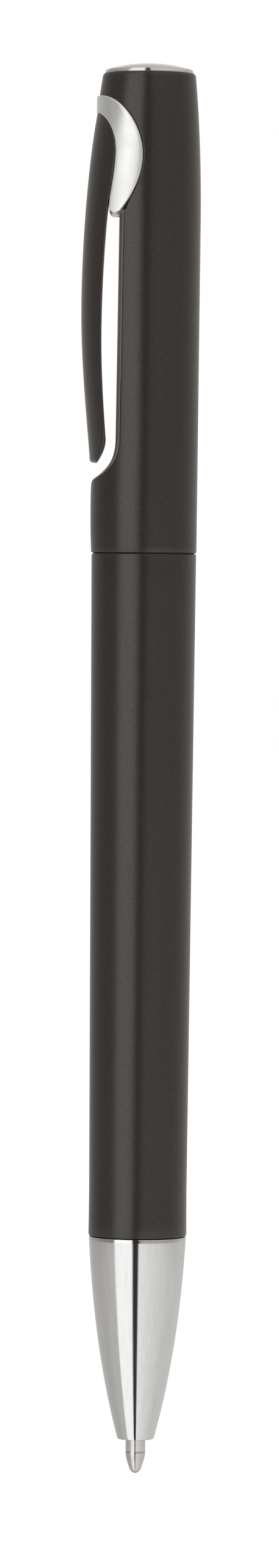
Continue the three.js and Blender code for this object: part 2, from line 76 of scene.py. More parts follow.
# Levels and radii of the pieces, in millimetres, taken from the frame
NOSE_END, NOSE_TOP = span("nose_cone")
LOWER_END, LOWER_TOP = span("lower_barrel")
UPPER_END, UPPER_TOP = span("upper_barrel")
CLIP_END = span("clip")[0]
TRIM_TOP = span("clip_trim")[1]
DOME_TOP = span("top_dome")[1]
BELLY_RADIUS = span("upper_barrel", 0)[1]
LOWER_TOP_RADIUS = span("lower_barrel", 0)[1]
NOSE_TOP_RADIUS = span("nose_cone", 0)[1]
DOME_RADIUS = span("top_dome", 1)[1]
CLIP_CREST = -span("clip", 0)[0]
TUBE_RADIUS = span("refill_tube", 0)[1]
TIP_TOP = span("refill_tip")[1]

# Shape of the barrels and the ball, as the frame's solids have it
UPPER_END_RADIUS = 5.29
TOP_EDGE_RADIUS = 4.78
BELLY_BELOW_TOP = 14.75
SHOULDER_POWER = 2.25
BELLY_LEVEL = UPPER_TOP - BELLY_BELOW_TOP
UPPER_BORE_RADIUS = 4.25
LOWER_BORE_RADIUS = 4.2
LOWER_END_RADIUS = 4.93
NOTCH_LEVEL = CLIP_END - 1.93
BALL_RADIUS = 0.5

# Finer shape of the upper barrel, as the photograph has it: how far the flat's edges fall back and
# how round they are, where the notch starts and ends, how high the barrel's top edge and the dome's
# cap lie, and how far the top leans
FLAT_CROWN = 0.39
FLAT_ROUND = 0.16
FOOT_LEVEL = NOTCH_LEVEL - 0.75
NOTCH_TOP = NOTCH_LEVEL + 4.3
RIM_LEVEL = UPPER_TOP + 0.2
RIM_ROUND = 0.25
CAP_HEIGHT = 0.7
TOP_LEAN = -0.115

# Half width of a flat from which its edges fall back in full
FULL_CROWN_WIDTH = 4.5

# Shares of the flat's half width between which its painted highlight fades in and makes it paler
EDGE_HIGHLIGHT_SHARES = (0.6, 0.97)

# Outlines of the horseshoe, its pocket and the clip in side view
WAIST_LEVEL = UPPER_TOP - 8.1
HORN_LEVEL = UPPER_TOP - 14.0
TRIM_UNDER = TRIM_TOP - 1.6
TRIM_PROUD = 0.14
TRIM_EDGE = 0.13
TRIM_DEPTH = 0.7
CLIP_GAP = 0.04
POCKET_LEVEL = HORN_LEVEL + 0.3
POCKET_TOP = TRIM_TOP - 0.02
POCKET_GAP = 0.03
FLAT_AT_HORN = 2.77
LEAST_CUT = 0.02
INNER_LEVEL = UPPER_TOP - 7.55
INNER_END = UPPER_TOP - 12.3
CREST_LEVEL = UPPER_TOP - 23.25
INNER_CREST_LEVEL = UPPER_TOP - 25.75
RAMP_TOP = CLIP_END + 2.55

# Points round a turned piece, and along the arc, the flat and each corner of a cut section
ROUND = 160
ARC_POINTS = 128
FLAT_POINTS = 32
CORNER_POINTS = 8

# Which point of the horn's round is its lowest
HORN_LOWEST = 9

# Radius of a ring that stands for a point on the axis
AXIS_RADIUS = 1e-4

# Edges sharper than this stay sharp, and points nearer than this, in metres, are one
SHARP_ANGLE = math.radians(32)
MERGE_DISTANCE = 2e-7
SHORTEST_EDGE = 1e-7

# Socket numbers of a mix node that mixes colours
MIX_SHARE, MIX_FIRST, MIX_SECOND, MIX_RESULT = 0, 6, 7, 2


def bezier(corners, count):
    """Points of a quadratic or cubic curve, as an array of pairs."""
    p = np.array(corners, float)
    t = np.linspace(0, 1, count)[:, None]
    if len(p) == 3:
        return (1 - t) ** 2 * p[0] + 2 * t * (1 - t) * p[1] + t**2 * p[2]
    middle = 3 * t * (1 - t) ** 2 * p[1] + 3 * t**2 * (1 - t) * p[2]
    return (1 - t) ** 3 * p[0] + middle + t**3 * p[3]


def upper_radius(z):
    """Radius of the upper barrel's round outside at a height."""
    if z < BELLY_LEVEL:
        share = (z - UPPER_END) / (BELLY_LEVEL - UPPER_END)
        return UPPER_END_RADIUS + (BELLY_RADIUS - UPPER_END_RADIUS) * share
    share = min(1, (z - BELLY_LEVEL) / BELLY_BELOW_TOP)
    return BELLY_RADIUS - (BELLY_RADIUS - TOP_EDGE_RADIUS) * share**SHOULDER_POWER


def new_object(name, vertices, faces):
    """A smooth mesh object from points in millimetres."""
    mesh = bpy.data.meshes.new(name)
    mesh.from_pydata([tuple(np.array(v) * MM) for v in vertices], [], faces)
    shape = bmesh.new()
    shape.from_mesh(mesh)
    bmesh.ops.remove_doubles(shape, verts=shape.verts, dist=MERGE_DISTANCE)
    bmesh.ops.dissolve_degenerate(shape, edges=shape.edges, dist=SHORTEST_EDGE)
    bmesh.ops.recalc_face_normals(shape, faces=shape.faces)
    shape.to_mesh(mesh)
    shape.free()
    mesh.polygons.foreach_set("use_smooth", [True] * len(mesh.polygons))
    made = bpy.data.objects.new(name, mesh)
    bpy.context.scene.collection.objects.link(made)
    mesh.set_sharp_from_angle(angle=SHARP_ANGLE)
    return made


def stack(name, loops, closed_ends=True):
    """A skin over loops that all hold the same number of points, capped at both ends."""
    count = len(loops[0])
    vertices = [p for loop in loops for p in loop]
    faces = []
    for i in range(len(loops) - 1):
        for j in range(count):
            a = i * count + j
            b = i * count + (j + 1) % count
            faces.append((a, b, b + count, a + count))
    if closed_ends:
        last = (len(loops) - 1) * count
        faces.append(tuple(reversed(range(count))))
        faces.append(tuple(range(last, last + count)))
    return new_object(name, vertices, faces)


def circle(radius, z, sides=ROUND, x=0.0):
    """Points on a level circle whose middle lies at x."""
    turns = np.linspace(0, 2 * math.pi, sides, endpoint=False)
    return [(x + radius * math.cos(a), radius * math.sin(a), z) for a in turns]


def turned(name, profile, sides=ROUND, x=0.0):
    """A closed piece turned round an upright line from pairs of radius and height."""
    return stack(name, [circle(max(r, AXIS_RADIUS), z, sides, x) for r, z in profile])


def swell(z):
    """How far the round outside's middle lies towards the clip at a height: a little towards it below
    the notch, and away from it, with a minus sign, at the top."""
    if z > HORN_LEVEL:
        return TOP_LEAN * ((z - HORN_LEVEL) / (UPPER_TOP - HORN_LEVEL)) ** 5
    levels = [UPPER_END, UPPER_END + 2.5, NOTCH_LEVEL - 2.5, NOTCH_TOP, HORN_LEVEL]
    leans = [0.015, 0.05, 0.055, 0.0, 0.0]
    i = int(np.clip(np.searchsorted(levels, z) - 1, 0, len(levels) - 2))
    share = (z - levels[i]) / (levels[i + 1] - levels[i])
    return leans[i] + (leans[i + 1] - leans[i]) * share * share * (3 - 2 * share)


def d_loop(radius, lean, cut, z, near, fillet=0.3, crown=0.0, whole=False):
    """A round section with its middle a lean towards the clip, cut by a flat at a distance from the axis.
    near keeps the side towards the clip, otherwise the side away from it. Distances run along -X.
    crown is how far the flat's edges fall back from its middle, and whole puts all points on the circle."""
    ratio = max(-1.0, min(1.0, (cut - lean) / radius))
    crown *= min(1.0, radius * math.sqrt(1 - ratio * ratio) / FULL_CROWN_WIDTH)
    half = math.acos(max(-1.0, min(1.0, (cut - crown - lean) / radius)))
    if not near:
        half = math.pi - half
    width = radius * math.sin(half)
    fillet = min(fillet, 0.45 * width + 1e-6, 0.45 * radius * half + 1e-6)
    trimmed = half - fillet / radius

    def on_circle(angle):
        return (radius * math.cos(angle), radius * math.sin(angle))

    def on_flat(y):
        return (radius * math.cos(half) - crown * (1 - (y / width) ** 4), y)

    corner = bezier([on_circle(trimmed), on_circle(half), on_flat(width - fillet)], CORNER_POINTS + 1)
    upper = [tuple(p) for p in corner]
    turns = np.linspace(-trimmed, trimmed, ARC_POINTS)[1:-1]
    if not near:
        # the half away from the flat keeps its points at the same angles on every level
        quarter = math.pi / 2
        beside = np.linspace(quarter, trimmed, ARC_POINTS // 4)[:-1]
        away = np.linspace(-quarter, quarter, ARC_POINTS // 2)[1:-1]
        turns = np.concatenate([-beside[::-1], away, beside])
    points = [on_circle(a) for a in turns]
    points += upper
    points += [on_flat(y) for y in np.linspace(width - fillet, fillet - width, FLAT_POINTS + 1)[1:-1]]
    points += [(a, -b) for a, b in reversed(upper)]
    if whole:
        points = [on_circle(math.atan2(b, a)) for a, b in points]
    side = 1 if near else -1
    return [(-lean - side * a, side * b, z) for a, b in points]


def line_at(line, z):
    """Distance of a side-view line at a height, where the line's heights rise."""
    return float(np.interp(z, line[:, 1], line[:, 0]))


# Side-view lines, each as [distance towards the clip, height] with rising heights
HORN_ROUND = bezier([(2.72, 0.2), (3.28, -0.13), (3.78, 0.0), (3.79, 0.72)], 25) + (0, HORN_LEVEL)
TRIM_OUTER = np.concatenate(
    [
        HORN_ROUND[HORN_LOWEST:0:-1],
        bezier([(2.72, HORN_LEVEL + 0.2), (0.5, WAIST_LEVEL - 2.95), (0.47, WAIST_LEVEL)], 40),
        bezier(
            [(0.47, WAIST_LEVEL), (0.47, WAIST_LEVEL + 2.75), (2.6, TRIM_TOP - 0.05), (4.9, TRIM_TOP)], 80
        )[1:],
    ]
)
TRIM_INNER = np.concatenate(
    [
        HORN_ROUND[HORN_LOWEST:],
        bezier([(3.79, HORN_LEVEL + 0.8), (3.76, HORN_LEVEL + 1.2), (3.71, INNER_END)], 8),
        bezier([(3.7, INNER_END + 0.05), (3.2, INNER_LEVEL - 1.8), (3.17, INNER_LEVEL)], 40),
        bezier(
            [(3.17, INNER_LEVEL), (3.17, INNER_LEVEL + 1.4), (3.9, TRIM_UNDER - 0.45), (5.2, TRIM_UNDER)], 60
        )[1:],
    ]
)
CLIP_OUTER = np.concatenate(
    [
        bezier(
            [
                (4.86, CLIP_END),
                (5.5, CLIP_END + 0.03),
                (5.56, CLIP_END + 0.1),
                (5.575, CLIP_END + 0.8),
            ],
            20,
        ),
        bezier(
            [
                (5.5, CLIP_END),
                (5.92, CLIP_END + 5),
                (CLIP_CREST, CREST_LEVEL - 5.5),
                (CLIP_CREST, CREST_LEVEL),
            ],
            60,
        )[4:],
        bezier(
            [
                (CLIP_CREST, CREST_LEVEL),
                (CLIP_CREST, CREST_LEVEL + 6.5),
                (5.95, TRIM_UNDER - 5),
                (5.05, TRIM_UNDER),
            ],
            80,
        )[1:],
        [(5.0, UPPER_TOP)],
    ]
)
CLIP_INNER = np.concatenate(
    [
        bezier([(4.85, CLIP_END), (4.1, CLIP_END + 1.05), (3.93, RAMP_TOP - 0.7), (3.955, RAMP_TOP)], 30),
        bezier(
            [
                (3.96, RAMP_TOP),
                (4.2, RAMP_TOP + 3.1),
                (4.48, INNER_CREST_LEVEL - 4),
                (4.48, INNER_CREST_LEVEL),
            ],
            50,
        )[1:],
        bezier(
            [
                (4.48, INNER_CREST_LEVEL),
                (4.48, INNER_CREST_LEVEL + 4.5),
                (4.2, INNER_END - 3.3),
                (3.8, INNER_END),
            ],
            50,
        )[1:],
    ]
)


def nose_cone():
    """The hollow metal cone, with a small round at each end and the hole for the tip."""
    curve = bezier([(1.87, NOSE_END + 0.14), (4.3, NOSE_END + 9.1), (NOSE_TOP_RADIUS, NOSE_TOP - 0.12)], 70)
    outside = [(1.1, NOSE_END + 2.1), (1.1, NOSE_END + 0.12), (1.2, NOSE_END)]
    outside += [(1.72, NOSE_END), (1.83, NOSE_END + 0.05)]
    outside += [tuple(p) for p in curve]
    outside += [(NOSE_TOP_RADIUS - 0.03, NOSE_TOP - 0.03), (NOSE_TOP_RADIUS - 0.12, NOSE_TOP)]
    inside = [(LOWER_BORE_RADIUS, NOSE_TOP), (4.1, NOSE_TOP - 0.4), (3.62, NOSE_TOP - 0.8)]
    inside += [(3.62, NOSE_END + 12.0), (1.4, NOSE_END + 8.0), (1.36, NOSE_END + 2.5)]
    loops = [circle(r, z) for r, z in outside + inside + outside[:1]]
    return stack("nose_shell", loops, closed_ends=False)


def lower_barrel():
    """The tapered tube, with a slight flare where it meets the nose cone."""
    flare = [(LOWER_END_RADIUS + 0.015, LOWER_END + 0.2), (LOWER_END_RADIUS, LOWER_END + 1.4)]
    waist = (4.915, LOWER_END + 4.5)
    outside = [(LOWER_BORE_RADIUS, LOWER_END), (LOWER_END_RADIUS - 0.09, LOWER_END)]
    outside += [(LOWER_END_RADIUS - 0.02, LOWER_END + 0.05)] + flare + [waist]
    for share in np.linspace(0.1, 1, 24):
        z = waist[1] + (LOWER_TOP - 0.12 - waist[1]) * share
        outside.append((waist[0] + (LOWER_TOP_RADIUS - waist[0]) * share, z))
    outside += [(LOWER_TOP_RADIUS - 0.03, LOWER_TOP - 0.03), (LOWER_TOP_RADIUS - 0.12, LOWER_TOP)]
    outside += [(4.8, LOWER_TOP), (4.8, LOWER_TOP - 0.5), (LOWER_BORE_RADIUS, LOWER_TOP - 0.5)]
    loops = [circle(r, z) for r, z in outside + outside[:1]]
    return stack("lower_shell", loops, closed_ends=False)


# The notch and the flat above it in side view
NOTCH_LINE = np.concatenate(
    [
        bezier([(5.4, -0.75), (5.37, -0.1), (5.33, 0.15), (5.12, 0.33)], 30),
        bezier([(5.12, 0.33), (3.62, 1.45), (3.0, 2.25), (2.955, 4.3)], 60)[1:],
        [(FLAT_AT_HORN, HORN_LEVEL - NOTCH_LEVEL)],
    ]
) + (0, NOTCH_LEVEL)


def barrel_cut(z):
    """Distance of the upper barrel's flat, notch or pocket at a height."""
    if z < POCKET_LEVEL:
        return line_at(NOTCH_LINE, z)
    cut = line_at(TRIM_OUTER, z) - POCKET_GAP
    return min(FLAT_AT_HORN, cut) if z < WAIST_LEVEL else cut


def upper_barrel():
    """The upper barrel: round below, cut by the notch, the flat and the horseshoe's pocket, round on top."""
    rim = RIM_LEVEL - RIM_ROUND
    recess = DOME_RADIUS + 0.05
    levels = [UPPER_END, UPPER_END + 0.04, UPPER_END + 0.12]
    levels += list(np.arange(UPPER_END + 0.6, FOOT_LEVEL - 0.1, 0.6))
    levels += list(np.linspace(FOOT_LEVEL, NOTCH_LEVEL + 0.4, 30))
    levels += list(np.linspace(NOTCH_LEVEL + 0.45, NOTCH_TOP, 50))
    levels += list(np.arange(NOTCH_TOP + 0.7, HORN_LEVEL - 0.3, 0.7))
    levels += list(np.linspace(HORN_LEVEL - 0.1, TRIM_TOP - 1.6, 60))
    levels += list(np.linspace(TRIM_TOP - 1.55, POCKET_TOP, 50)) + [TRIM_TOP + 0.01]
    levels += list(np.linspace(TRIM_TOP + 0.2, rim, 8))
    loops = []
    for i, z in enumerate(levels):
        # the edge at the seam is rounded over the two lowest levels
        inset = (0.12, 0.03)[i] if i < 2 else 0.0
        lean = swell(z)
        radius = upper_radius(z) + lean - inset
        if z <= FOOT_LEVEL:
            loops.append(d_loop(radius, lean, radius + lean - LEAST_CUT, z, near=False, whole=True))
        elif z > TRIM_TOP:
            cut = barrel_cut(POCKET_TOP)
            loops.append(d_loop(radius, lean, cut, z, near=False, fillet=FLAT_ROUND, whole=True))
        else:
            cut = min(barrel_cut(z), radius + lean - LEAST_CUT)
            crown = FLAT_CROWN * float(np.interp(z, [POCKET_LEVEL, HORN_LEVEL + 1.5], [1, 0]))
            loops.append(d_loop(radius, lean, cut, z, near=False, fillet=FLAT_ROUND, crown=crown))

    def rings_like(loop, pairs):
        """Round rings, each a radius and a height, whose points lie at the angles of a loop."""
        middle = -swell(loop[0][2])
        turns = [math.atan2(y, x - middle) for x, y, _ in loop]
        return [[(middle + r * math.cos(a), r * math.sin(a), z) for a in turns] for r, z in pairs]

    lean = swell(rim)
    edge = [(-0.03, rim + 0.1), (-0.08, rim + 0.18), (-0.16, rim + 0.24), (-0.2, RIM_LEVEL)]
    rings = [(upper_radius(rim) + lean + inset, z) for inset, z in edge]
    rings += [(recess + 0.05, RIM_LEVEL), (recess, RIM_LEVEL - 0.05), (recess, UPPER_TOP - 0.8)]
    bottom = rings_like(loops[0], [(UPPER_BORE_RADIUS, UPPER_END + 5), (UPPER_BORE_RADIUS, UPPER_END)])
    made = stack("upper_shell", bottom + loops + rings_like(loops[-1], rings))
    # painted highlight: the flat's falling edges are coloured paler, standing in for the bright surround
    # they reflect
    edge_highlight = made.data.attributes.new("painted_edge_highlight", "FLOAT", "POINT")
    for vertex, value in zip(made.data.vertices, edge_highlight.data):
        x, y, z = vertex.co / MM
        if FOOT_LEVEL < z < POCKET_LEVEL and x < 0:
            radius = upper_radius(z) + swell(z)
            reach = math.sqrt(max(0.01, radius**2 - (barrel_cut(z) - swell(z)) ** 2))
            inside = math.hypot(x + swell(z), y) < radius - 0.03
            value.value = float(np.interp(abs(y) / reach, EDGE_HIGHLIGHT_SHARES, [0, 1])) if inside else 0.0
    return made


def clip_piece():
    """The clip, from its thin end over the ramp and the crest to the root inside the horseshoe."""
    levels = [CLIP_END + 0.8 * share**2 for share in np.linspace(0.1, 1, 14)]
    levels += list(np.linspace(CLIP_END + 0.9, RAMP_TOP + 0.6, 26))
    levels += list(np.arange(RAMP_TOP + 1.1, INNER_END - 0.2, 0.5))
    levels += list(np.linspace(INNER_END, TRIM_UNDER - 1.2, 40))
    levels += list(np.linspace(TRIM_UNDER - 1.15, TRIM_UNDER - 0.13, 40))
    loops = []
    for z in levels:
        outer = line_at(CLIP_OUTER, z)
        inner = line_at(CLIP_INNER, z) if z < INNER_END else line_at(TRIM_INNER, z) + CLIP_GAP
        radius = upper_radius(z)
        fillet = float(np.interp(z, [CLIP_END + 0.4, RAMP_TOP - 0.3, RAMP_TOP + 0.8], [0.45, 0.45, 0.2]))
        cut = min(inner, outer - LEAST_CUT)
        loops.append(d_loop(radius, outer - radius, cut, z, near=True, fillet=fillet))
    return stack("clip_moulding", loops)


def stock(z):
    """Radius and lean of the round bar that the clip is cut from, at a height."""
    radius = upper_radius(z)
    return radius, line_at(CLIP_OUTER, z) - radius


def skin_point(distance, z, proud):
    """The outermost point of the barrel or of the clip's bar at a side-view place, set outwards by proud."""
    radius, lean = stock(z)
    best = None
    for centre in (0.0, lean):
        inside = radius**2 - (distance - centre) ** 2
        y = math.sqrt(max(inside, 0.0))
        if best is None or y > best[0]:
            best = (y, centre)
    y, centre = best
    direction = Vector((-(distance - centre), y, 0)) / radius
    return Vector((-distance, y, z)) + direction * proud


def horseshoe():
    """A ribbon with rounded edges that follows the horseshoe from one horn over the front to the other."""
    steps = 150
    outer_side = TRIM_OUTER[::-1]
    inner_side = TRIM_INNER[TRIM_INNER[:, 0] < 5.0][::-1]
    under = inner_side[0][1]

    def lengths(line):
        return np.concatenate([[0], np.cumsum(np.linalg.norm(np.diff(line, axis=0), axis=1))])

    def along(line, share):
        run = lengths(line)
        at = share * run[-1]
        return np.array([np.interp(at, run, line[:, 0]), np.interp(at, run, line[:, 1])])

    def section(width):
        """Pairs of share across the ribbon and height over the skin, for a ribbon of this width."""
        edge = min(TRIM_EDGE, width / 2)
        side = []
        for turn in np.linspace(0, 1, 6):
            distance = edge * (1 - math.cos(turn * math.pi / 2))
            height = TRIM_PROUD * math.sqrt(max(0.0, 1 - (1 - distance / TRIM_EDGE) ** 2))
            side.append((distance / width, height))
        middle = [(w, side[-1][1]) for w in np.linspace(side[-1][0], 1 - side[-1][0], 11)[1:-1]]
        other = [(1 - w, height) for w, height in reversed(side)]
        return [(0.0, -TRIM_DEPTH)] + side + middle + other + [(1.0, -TRIM_DEPTH)]

    half = []
    front = 12
    outer_start = math.acos(outer_side[0][0] / upper_radius(TRIM_TOP))
    inner_start = math.acos(inner_side[0][0] / upper_radius(under))
    for share in np.arange(front) / front:
        # over the front, where the band runs level round the barrel and its under edge stands out less
        row = []
        for w, proud in section(TRIM_TOP - under):
            angle = (outer_start * (1 - w) + inner_start * w) * share
            z = TRIM_TOP * (1 - w) + under * w
            r = upper_radius(z) + proud * (1 - 0.8 * w * (1 - share) if proud > 0 else 1)
            lean = max(0.0, stock(z)[1]) * w
            row.append(Vector((-lean - r * math.cos(angle), r * math.sin(angle), z)))
        half.append(row)
    for share in np.linspace(0, 1, steps + 1) ** 0.9:
        a, b = along(outer_side, share), along(inner_side, share)
        width = max(float(np.linalg.norm(b - a)), 0.004)
        half.append([skin_point(*(a * (1 - w) + b * w), proud) for w, proud in section(width)])
    mirror = [[Vector((p.x, -p.y, p.z)) for p in row] for row in reversed(half[1:])]
    return stack("horseshoe_band", [[tuple(p) for p in row] for row in mirror + half])


def saddle():
    """The body of the horseshoe between barrel and clip, a little under the ribbon's skin."""
    back_gap, front_gap, depth = 0.022, 0.02, 0.2
    loops = []
    lowest = HORN_ROUND[HORN_LOWEST][1]
    horn = np.linspace(lowest + 0.04, HORN_LEVEL + 0.8, 16)
    for z in np.concatenate([horn, np.linspace(HORN_LEVEL + 1, TRIM_UNDER - 0.3, 60)]):
        back = line_at(TRIM_OUTER, z) - back_gap
        front = line_at(TRIM_INNER, z) - front_gap
        middle = (back + front) / 2
        back, front = min(back, middle), max(front, middle)
        sides = []
        for d in np.linspace(back, front, 10):
            sides.append((-d, abs(skin_point(d, z, -depth).y), z))
        loops.append(sides + [(x, -y, zz) for x, y, zz in reversed(sides)])
    return stack("horseshoe_core", loops)


def top_dome():
    """The domed plug: a bright bead over the barrel's edge, a short leaning wall and a low cap."""
    wall = DOME_RADIUS - 0.01
    cap = (DOME_RADIUS**2 + CAP_HEIGHT**2) / (2 * CAP_HEIGHT)

    def on_cap(r):
        return (r, DOME_TOP - cap + math.sqrt(cap**2 - r**2))

    profile = [(0, -0.95), (wall - 0.05, -0.95), (wall, -0.9), (wall, -0.06)]
    bead = bezier([(wall, -0.02), (wall + 0.05, -0.01), (wall + 0.05, 0.08), (wall, 0.09)], 9)
    profile += [tuple(p) for p in bead]
    profile += [(wall - 0.02, 0.1), (wall - 0.02, 0.115)]
    profile += [tuple(p) for p in bezier([(wall, 0.12), (wall - 0.02, 0.23), (wall - 0.06, 0.33)], 9)]
    profile = [(r, RIM_LEVEL + z) for r, z in profile]
    end = on_cap(wall - 0.3)
    profile += [tuple(p) for p in bezier([profile[-1], (wall - 0.09, RIM_LEVEL + 0.405), end], 12)[1:]]
    profile += [on_cap(r) for r in np.linspace(wall - 0.37, 0, 40)]
    return turned("dome_cap", profile, x=-swell(UPPER_TOP))


def seam_washer():
    """The washer between the barrels, with a thin lip that fills the seam below the surface: dark rubber put
    there as painted shade in the seam's gap.
    """
    low = span("seam_washer")[0]
    inner, outer = 4.32, 4.78
    # painted shade: the lip's dark rubber fills the seam's gap where there would only be shade
    lip = LOWER_TOP_RADIUS - 0.16
    clear = 0.015
    profile = [(inner, low), (outer, low), (outer, LOWER_TOP + clear), (lip, LOWER_TOP + clear)]
    profile += [(lip, UPPER_END - clear), (inner, UPPER_END - clear)]
    loops = [circle(r, z) for r, z in profile + profile[:1]]
    return stack("washer_ring", loops, closed_ends=False)


def refill_tip():
    """The writing tip: a cone round the ball, a fine groove, and the shank up to the refill's tube."""
    cone = bezier([(0.54, 0.33), (0.95, 1.42), (1.0, 2.05)], 24)
    profile = [(0.3, 0.85), (0.46, 0.42), (0.5, 0.33), (0.525, 0.315)] + [tuple(p) for p in cone]
    profile += [(1.0, 2.2), (0.985, 2.23), (0.985, 2.29), (1.0, 2.32), (1.0, 5.55)]
    profile += [(TUBE_RADIUS, 5.8), (TUBE_RADIUS, 6.2), (0.95, 6.2), (0.95, TIP_TOP), (0.3, TIP_TOP)]
    loops = [circle(r, z, 96) for r, z in profile + profile[:1]]
    return stack("tip_shell", loops, closed_ends=False)


def refill_ball():
    """The writing ball, whose lowest point is the frame's origin."""
    profile = []
    for a in np.linspace(0, math.pi, 33):
        profile.append((BALL_RADIUS * math.sin(a), BALL_RADIUS - BALL_RADIUS * math.cos(a)))
    return turned("writing_ball", profile, 64)


class Finish:
    """A procedural material made of nodes, with short helpers for what the finishes share."""

    def __init__(self, name, roughness, metallic=0.0, specular=0.5):
        self.material = bpy.data.materials.new(name)
        self.material.use_nodes = True
        self.nodes = self.material.node_tree.nodes
        self.links = self.material.node_tree.links
        self.shader = self.nodes["Principled BSDF"]
        self.shader.inputs["Metallic"].default_value = metallic
        self.shader.inputs["Roughness"].default_value = roughness
        self.shader.inputs["Specular IOR Level"].default_value = specular
        self.place = self.nodes.new("ShaderNodeTexCoord").outputs["Object"]

    def mapped(self, scale):
        """The piece's own places, scaled along each axis."""
        mapping = self.nodes.new("ShaderNodeMapping")
        mapping.inputs["Scale"].default_value = scale
        self.links.new(self.place, mapping.inputs["Vector"])
        return mapping.outputs["Vector"]

    def noise(self, scale, detail=3.0, stretch=(1, 1, 1), roughness=0.5):
        """A cloudy number over those places."""
        texture = self.nodes.new("ShaderNodeTexNoise")
        texture.inputs["Scale"].default_value = scale
        texture.inputs["Detail"].default_value = detail
        texture.inputs["Roughness"].default_value = roughness
        self.links.new(self.mapped(stretch), texture.inputs["Vector"])
        return texture.outputs["Fac"]

    def between(self, source, low, high, lows, highs):
        """A number carried over from the range low to high into the range lows to highs."""
        change = self.nodes.new("ShaderNodeMapRange")
        for socket, value in zip(("From Min", "From Max", "To Min", "To Max"), (low, high, lows, highs)):
            change.inputs[socket].default_value = value
        self.links.new(source, change.inputs["Value"])
        return change.outputs["Result"]

    def blend_colours(self, source, stops):
        """A colour picked by a number, from stops of position and colour."""
        ramp = self.nodes.new("ShaderNodeValToRGB")
        ramp.color_ramp.elements[0].position = stops[0][0]
        ramp.color_ramp.elements[0].color = (*stops[0][1], 1)
        ramp.color_ramp.elements[1].position = stops[-1][0]
        ramp.color_ramp.elements[1].color = (*stops[-1][1], 1)
        for position, colour in stops[1:-1]:
            ramp.color_ramp.elements.new(position).color = (*colour, 1)
        self.links.new(source, ramp.inputs["Fac"])
        return ramp.outputs["Color"]

    def colour(self, source):
        """The surface takes its colour from here, and below its roughness, shine and fine relief."""
        self.links.new(source, self.shader.inputs["Base Color"])

    def rough(self, source):
        self.links.new(source, self.shader.inputs["Roughness"])

    def gloss(self, source):
        self.links.new(source, self.shader.inputs["Specular IOR Level"])

    def bump(self, source, strength, distance):
        bump = self.nodes.new("ShaderNodeBump")
        bump.inputs["Strength"].default_value = strength
        bump.inputs["Distance"].default_value = distance
        self.links.new(source, bump.inputs["Height"])
        self.links.new(bump.outputs["Normal"], self.shader.inputs["Normal"])


# A warm black's red, green and blue, as shares of its tone, and the colour of the painted highlight on the
# flat's edges
WARM_BLACK = (1, 0.62, 0.42)
EDGE_HIGHLIGHT_PAINT = (0.24, 0.21, 0.18)


def black_finish(name, tone):
    """Matt black with a very fine grain of lighter specks over a warm brown depth."""
    made = Finish(name, 0.29, specular=0.78)
    made.shader.inputs["Specular Tint"].default_value = (1.0, 0.985, 0.965, 1)
    grain = made.noise(4200, detail=2.0, roughness=0.6)
    patches = made.noise(160, detail=4.0)
    stops = [(0.30, 0.85), (0.55, 1), (0.66, 1.15), (0.74, 1.7)]
    specks = made.blend_colours(
        grain, [(at, tuple(tone * part * strength for part in WARM_BLACK)) for at, strength in stops]
    )
    # painted highlight: where the mesh marks the flat's edges, the colour is mixed towards a paler one
    edge = made.nodes.new("ShaderNodeAttribute")
    edge.attribute_name = "painted_edge_highlight"
    mix = made.nodes.new("ShaderNodeMix")
    mix.data_type = "RGBA"
    made.links.new(edge.outputs["Fac"], mix.inputs[MIX_SHARE])
    made.links.new(specks, mix.inputs[MIX_FIRST])
    mix.inputs[MIX_SECOND].default_value = (*EDGE_HIGHLIGHT_PAINT, 1)
    made.colour(mix.outputs[MIX_RESULT])
    made.rough(made.between(patches, 0.3, 0.7, 0.285, 0.297))
    made.gloss(made.between(grain, 0.3, 0.7, 0.72, 0.84))
    made.bump(grain, 0.2, 0.000015)
    return made.material


def bright_metal(name, tone, roughness, streak_scale, streak):
    """Plated metal with faint marks along the pen and small changes in polish."""
    made = Finish(name, roughness, metallic=1.0)
    streaks = made.noise(streak_scale, detail=5.0, stretch=(1, 1, 0.03), roughness=0.65)
    cloud = made.noise(300, detail=3.0)
    dark = tuple(c * (1 - streak) for c in tone)
    made.colour(made.blend_colours(streaks, [(0.3, dark), (0.62, tone)]))
    made.rough(made.between(cloud, 0.3, 0.7, roughness * 0.8, roughness * 1.25))
    made.bump(streaks, 0.12, 0.000006)
    return made.material


def turned_metal(name, tone, roughness):
    """Metal with turning marks round the pen's axis."""
    made = Finish(name, roughness, metallic=1.0)
    rings = made.noise(900, detail=4.0, stretch=(0.03, 0.03, 1))
    made.colour(made.blend_colours(rings, [(0.3, tuple(c * 0.86 for c in tone)), (0.65, tone)]))
    made.rough(made.between(rings, 0.3, 0.7, roughness * 0.8, roughness * 1.2))
    made.bump(rings, 0.2, 0.000008)
    return made.material


def moulding(name, tone, roughness):
    """Plain moulded plastic with a faint cloudiness."""
    made = Finish(name, roughness)
    cloud = made.noise(420, detail=4.0)
    made.colour(made.blend_colours(cloud, [(0.3, tuple(c * 0.93 for c in tone)), (0.7, tone)]))
    made.rough(made.between(cloud, 0.3, 0.7, roughness * 0.9, roughness * 1.1))
    made.bump(made.noise(3000), 0.1, 0.00001)
    return made.material


def dress(piece, material):
    """Gives a piece one material, in place of any that it has."""
    piece.data.materials.clear()
    piece.data.materials.append(material)


def place(piece, body, slot, material, *nodes):
    """Dresses a piece, puts it on its body and lets it stand for the frame's nodes, which it hides; slot is
    not used.
    """
    dress(piece, material)
    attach(piece, body)
    if nodes:
        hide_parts(*nodes)


